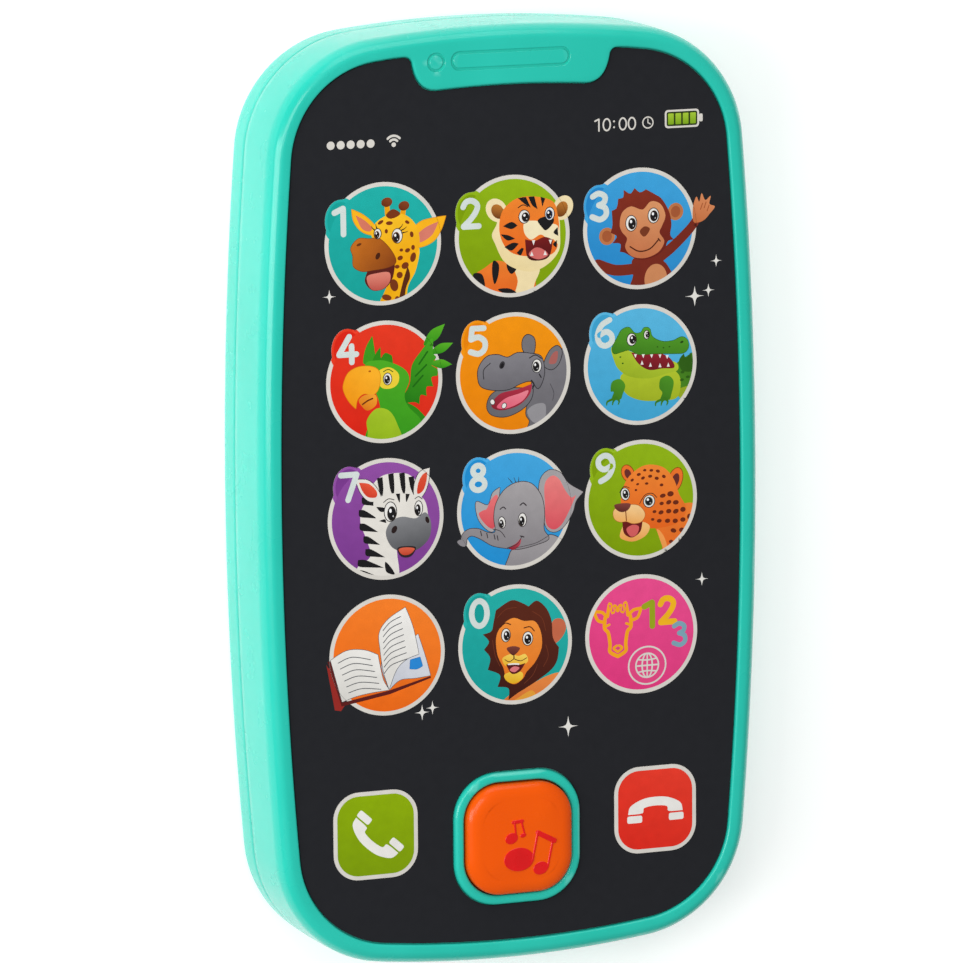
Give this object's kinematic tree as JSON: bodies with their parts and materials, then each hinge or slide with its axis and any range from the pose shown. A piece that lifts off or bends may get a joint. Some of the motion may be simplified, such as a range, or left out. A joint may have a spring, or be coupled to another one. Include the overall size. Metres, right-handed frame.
{
  "type": "toy cell phone",
  "caption": "Slab-shaped toy phone with a turquoise two-part case, black printed face, round picture keys, call and end keys, a domed home button, speaker and battery bay.",
  "frame": {"origin": "on the back face of the case, under the middle of its outline", "axes": "+X across the phone to the right as the face is read, +Y along it towards the earpiece end, +Z out of the face"},
  "size_m": [0.0824, 0.1456, 0.0231],
  "materials": {
    "case_turquoise": "glossy injection-moulded turquoise ABS with a faint satin on the back",
    "screen_film": "satin black printed film with small white status marks and sparkles",
    "key_1_face": "printed key face under a clear satin film, with an off-white border",
    "key_2_face": "printed key face under a clear satin film, with an off-white border",
    "key_3_face": "printed key face under a clear satin film, with an off-white border",
    "key_4_face": "printed key face under a clear satin film, with an off-white border",
    "key_5_face": "printed key face under a clear satin film, with an off-white border",
    "key_6_face": "printed key face under a clear satin film, with an off-white border",
    "key_7_face": "printed key face under a clear satin film, with an off-white border",
    "key_8_face": "printed key face under a clear satin film, with an off-white border",
    "key_9_face": "printed key face under a clear satin film, with an off-white border",
    "key_0_face": "printed key face under a clear satin film, with an off-white border",
    "key_book_face": "printed key face under a clear satin film, with an off-white border",
    "key_mode_face": "printed key face under a clear satin film, with an off-white border",
    "key_call_face": "printed key face under a clear satin film, with an off-white border",
    "key_end_face": "printed key face under a clear satin film, with an off-white border",
    "home_orange": "high-gloss orange plastic with red notes in slight relief",
    "silicone": "translucent grey silicone keypad rubber",
    "board": "green solder mask on a glass-epoxy board",
    "black_plastic": "black moulded plastic or epoxy",
    "capacitor_sleeve": "dark blue shrink sleeve with an aluminium top",
    "ceramic": "black resistor body with tinned ends",
    "steel": "zinc-plated or pressed steel",
    "contact_plate": "nickel-plated spring steel",
    "cone_paper": "black paper cone with a rolled edge",
    "cell_wrap": "plain printed cell sleeve with bare metal ends",
    "wire_red": "red insulated hook-up wire",
    "wire_black": "black insulated hook-up wire"
  },
  "bodies": {
    "case": {"front_shell": "case_turquoise", "rear_shell": "case_turquoise", "screen_overlay": "screen_film", "keypad_mat": "silicone", "main_board": "board", "chip_blob": "black_plastic", "driver_transistor": "black_plastic", "speaker_clamp": "black_plastic", "capacitor": "capacitor_sleeve", "resistor_1": "ceramic", "resistor_2": "ceramic", "power_switch_body": "steel", "speaker_frame": "steel", "speaker_magnet": "steel", "clamp_screw_1": "steel", "clamp_screw_2": "steel", "case_screw_1": "steel", "case_screw_2": "steel", "case_screw_3": "steel", "case_screw_4": "steel", "case_screw_5": "steel", "case_screw_6": "steel", "board_screw_1": "steel", "board_screw_2": "steel", "board_screw_3": "steel", "board_screw_4": "steel", "contact_positive": "contact_plate", "contact_negative": "contact_plate", "contact_bridge": "contact_plate", "battery_1": "cell_wrap", "battery_2": "cell_wrap", "wire_battery_to_switch": "wire_red", "wire_switch_to_board": "wire_red", "wire_speaker_positive": "wire_red", "wire_battery_to_board": "wire_black", "wire_speaker_negative": "wire_black"},
    "key_1": {"key_1": "key_1_face"},
    "key_2": {"key_2": "key_2_face"},
    "key_3": {"key_3": "key_3_face"},
    "key_4": {"key_4": "key_4_face"},
    "key_5": {"key_5": "key_5_face"},
    "key_6": {"key_6": "key_6_face"},
    "key_7": {"key_7": "key_7_face"},
    "key_8": {"key_8": "key_8_face"},
    "key_9": {"key_9": "key_9_face"},
    "key_0": {"key_0": "key_0_face"},
    "key_book": {"key_book": "key_book_face"},
    "key_mode": {"key_mode": "key_mode_face"},
    "key_call": {"key_call": "key_call_face"},
    "key_end": {"key_end": "key_end_face"},
    "home_button": {"home_button": "home_orange"},
    "power_switch_knob": {"power_switch_knob": "black_plastic"},
    "battery_door": {"battery_door": "case_turquoise"},
    "battery_door_screw": {"battery_door_screw": "steel"},
    "speaker_cone": {"speaker_cone": "cone_paper"}
  },
  "joints": [
    {"name": "key_1_press", "type": "slide", "parent": "case", "child": "key_1", "axis": [0, 0, -1], "range_m": [0, 0.0007], "stiffness_N_per_m": 1500, "springref_m": -0.0004, "deforming": ["keypad_mat"]},
    {"name": "key_2_press", "type": "slide", "parent": "case", "child": "key_2", "axis": [0, 0, -1], "range_m": [0, 0.0007], "stiffness_N_per_m": 1500, "springref_m": -0.0004, "deforming": ["keypad_mat"]},
    {"name": "key_3_press", "type": "slide", "parent": "case", "child": "key_3", "axis": [0, 0, -1], "range_m": [0, 0.0007], "stiffness_N_per_m": 1500, "springref_m": -0.0004, "deforming": ["keypad_mat"]},
    {"name": "key_4_press", "type": "slide", "parent": "case", "child": "key_4", "axis": [0, 0, -1], "range_m": [0, 0.0007], "stiffness_N_per_m": 1500, "springref_m": -0.0004, "deforming": ["keypad_mat"]},
    {"name": "key_5_press", "type": "slide", "parent": "case", "child": "key_5", "axis": [0, 0, -1], "range_m": [0, 0.0007], "stiffness_N_per_m": 1500, "springref_m": -0.0004, "deforming": ["keypad_mat"]},
    {"name": "key_6_press", "type": "slide", "parent": "case", "child": "key_6", "axis": [0, 0, -1], "range_m": [0, 0.0007], "stiffness_N_per_m": 1500, "springref_m": -0.0004, "deforming": ["keypad_mat"]},
    {"name": "key_7_press", "type": "slide", "parent": "case", "child": "key_7", "axis": [0, 0, -1], "range_m": [0, 0.0007], "stiffness_N_per_m": 1500, "springref_m": -0.0004, "deforming": ["keypad_mat"]},
    {"name": "key_8_press", "type": "slide", "parent": "case", "child": "key_8", "axis": [0, 0, -1], "range_m": [0, 0.0007], "stiffness_N_per_m": 1500, "springref_m": -0.0004, "deforming": ["keypad_mat"]},
    {"name": "key_9_press", "type": "slide", "parent": "case", "child": "key_9", "axis": [0, 0, -1], "range_m": [0, 0.0007], "stiffness_N_per_m": 1500, "springref_m": -0.0004, "deforming": ["keypad_mat"]},
    {"name": "key_0_press", "type": "slide", "parent": "case", "child": "key_0", "axis": [0, 0, -1], "range_m": [0, 0.0007], "stiffness_N_per_m": 1500, "springref_m": -0.0004, "deforming": ["keypad_mat"]},
    {"name": "key_book_press", "type": "slide", "parent": "case", "child": "key_book", "axis": [0, 0, -1], "range_m": [0, 0.0007], "stiffness_N_per_m": 1500, "springref_m": -0.0004, "deforming": ["keypad_mat"]},
    {"name": "key_mode_press", "type": "slide", "parent": "case", "child": "key_mode", "axis": [0, 0, -1], "range_m": [0, 0.0007], "stiffness_N_per_m": 1500, "springref_m": -0.0004, "deforming": ["keypad_mat"]},
    {"name": "key_call_press", "type": "slide", "parent": "case", "child": "key_call", "axis": [0, 0, -1], "range_m": [0, 0.0007], "stiffness_N_per_m": 1500, "springref_m": -0.0004, "deforming": ["keypad_mat"]},
    {"name": "key_end_press", "type": "slide", "parent": "case", "child": "key_end", "axis": [0, 0, -1], "range_m": [0, 0.0007], "stiffness_N_per_m": 1500, "springref_m": -0.0004, "deforming": ["keypad_mat"]},
    {"name": "home_button_press", "type": "slide", "parent": "case", "child": "home_button", "axis": [0, 0, -1], "range_m": [0, 0.0009], "stiffness_N_per_m": 1600, "springref_m": -0.0004, "deforming": ["keypad_mat"]},
    {"name": "power_switch_slide", "type": "slide", "parent": "case", "child": "power_switch_knob", "axis": [0, 1, 0], "range_m": [0, 0.004]},
    {"name": "battery_door_lift", "type": "slide", "parent": "case", "child": "battery_door", "axis": [0, 0, -1], "range_m": [0, 0.03]},
    {"name": "battery_door_screw_turn", "type": "hinge", "parent": "battery_door", "child": "battery_door_screw", "pos_m": [0, 0.0076, 0], "axis": [0, 0, 1], "continuous": true},
    {"name": "speaker_cone_travel", "type": "slide", "parent": "case", "child": "speaker_cone", "axis": [0, 0, 1], "range_m": [-0.0003, 0.0003], "stiffness_N_per_m": 1000}
  ]
}
